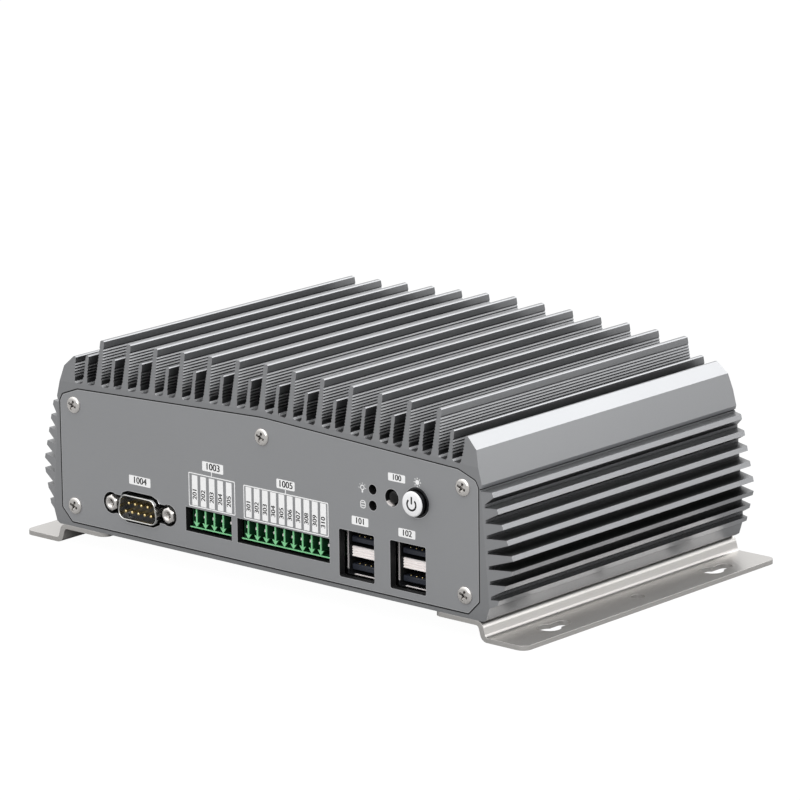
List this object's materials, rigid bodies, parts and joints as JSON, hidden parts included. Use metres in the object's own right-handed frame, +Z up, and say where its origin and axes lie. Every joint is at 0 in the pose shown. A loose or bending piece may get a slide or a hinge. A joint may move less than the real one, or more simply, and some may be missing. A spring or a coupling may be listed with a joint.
{
  "type": "fanless industrial pc",
  "caption": "Compact sealed computer in a ribbed aluminium heatsink housing on two keyholed steel mounting brackets, with sockets, lamps and push buttons on its end panels.",
  "frame": {"origin": "on the mounting surface, midway between the brackets' outer edges and midway between the front and rear ends", "axes": "+X along the front panel to the right as seen from the front, +Y from the front panel to the rear panel, +Z up from the mounting surface"},
  "size_m": [0.2114, 0.1296, 0.0723],
  "materials": {
    "anodised_grey": "grey anodised aluminium extrusion, fine satin",
    "panel_grey": "fine textured grey coating on aluminium sheet",
    "stainless_sheet": "lightly brushed stainless sheet",
    "nickel_screw": "nickel-plated steel",
    "zinc_screw": "zinc-plated steel",
    "tin_shell": "tin-plated steel shell",
    "gold_contact": "gold-flashed contact",
    "tin_contact": "tin-plated pin",
    "black_plastic": "moulded black plastic",
    "green_plastic": "moulded green plastic",
    "circuit_board": "solder-masked glass laminate",
    "silver_plastic": "silver-white painted plastic cap",
    "chip_black": "moulded package",
    "thermal_pad": "soft silicone pad",
    "plain_aluminium": "milled aluminium",
    "cell_steel": "plated steel cell",
    "lamp_lens": "dark tinted lens, unlit"
  },
  "bodies": {
    "housing": {"top_heatsink": "anodised_grey", "base_extrusion": "anodised_grey", "front_panel": "panel_grey", "rear_panel": "panel_grey", "left_bracket": "stainless_sheet", "right_bracket": "stainless_sheet", "front_panel_screws": "nickel_screw", "rear_panel_screws": "nickel_screw", "bracket_screws": "zinc_screw", "main_board": "circuit_board", "board_standoffs": "zinc_screw", "board_screws": "zinc_screw", "processor": "chip_black", "thermal_pad": "thermal_pad", "heat_spreader": "plain_aluminium", "memory_socket": "black_plastic", "memory_module": "circuit_board", "storage_socket": "black_plastic", "storage_module": "circuit_board", "storage_screw": "zinc_screw", "battery_holder": "black_plastic", "clock_battery": "cell_steel", "front_serial_shell": "tin_shell", "front_serial_insulator": "black_plastic", "front_serial_pins": "gold_contact", "front_serial_jackscrews": "nickel_screw", "small_terminal_header": "green_plastic", "small_terminal_pins": "tin_contact", "large_terminal_header": "green_plastic", "large_terminal_pins": "tin_contact", "left_usb_shell": "tin_shell", "left_usb_tongues": "black_plastic", "left_usb_contacts": "gold_contact", "right_usb_shell": "tin_shell", "right_usb_tongues": "black_plastic", "right_usb_contacts": "gold_contact", "button_board": "circuit_board", "power_bezel": "black_plastic", "power_switch": "black_plastic", "reset_switch": "black_plastic", "status_lamps": "lamp_lens", "rear_serial_shells": "tin_shell", "rear_serial_insulators": "black_plastic", "rear_serial_pins": "gold_contact", "rear_serial_jackscrews": "nickel_screw", "lan_jacks": "tin_shell", "lan_contacts": "gold_contact", "rear_usb_shell": "tin_shell", "rear_usb_tongues": "black_plastic", "rear_usb_contacts": "gold_contact", "video_socket_shell": "tin_shell", "video_socket_tongue": "black_plastic", "power_header": "green_plastic", "power_header_pins": "tin_contact"},
    "power_button": {"power_button": "silver_plastic", "power_switch_plunger": "black_plastic"},
    "reset_button": {"reset_button": "black_plastic", "reset_switch_plunger": "black_plastic"}
  },
  "joints": [
    {"name": "power_press", "type": "slide", "parent": "housing", "child": "power_button", "axis": [0, 1, 0], "range_m": [0, 0.0006], "stiffness_N_per_m": 400, "springref_m": -0.003},
    {"name": "reset_press", "type": "slide", "parent": "housing", "child": "reset_button", "axis": [0, 1, 0], "range_m": [0, 0.0006], "stiffness_N_per_m": 300, "springref_m": -0.003}
  ]
}
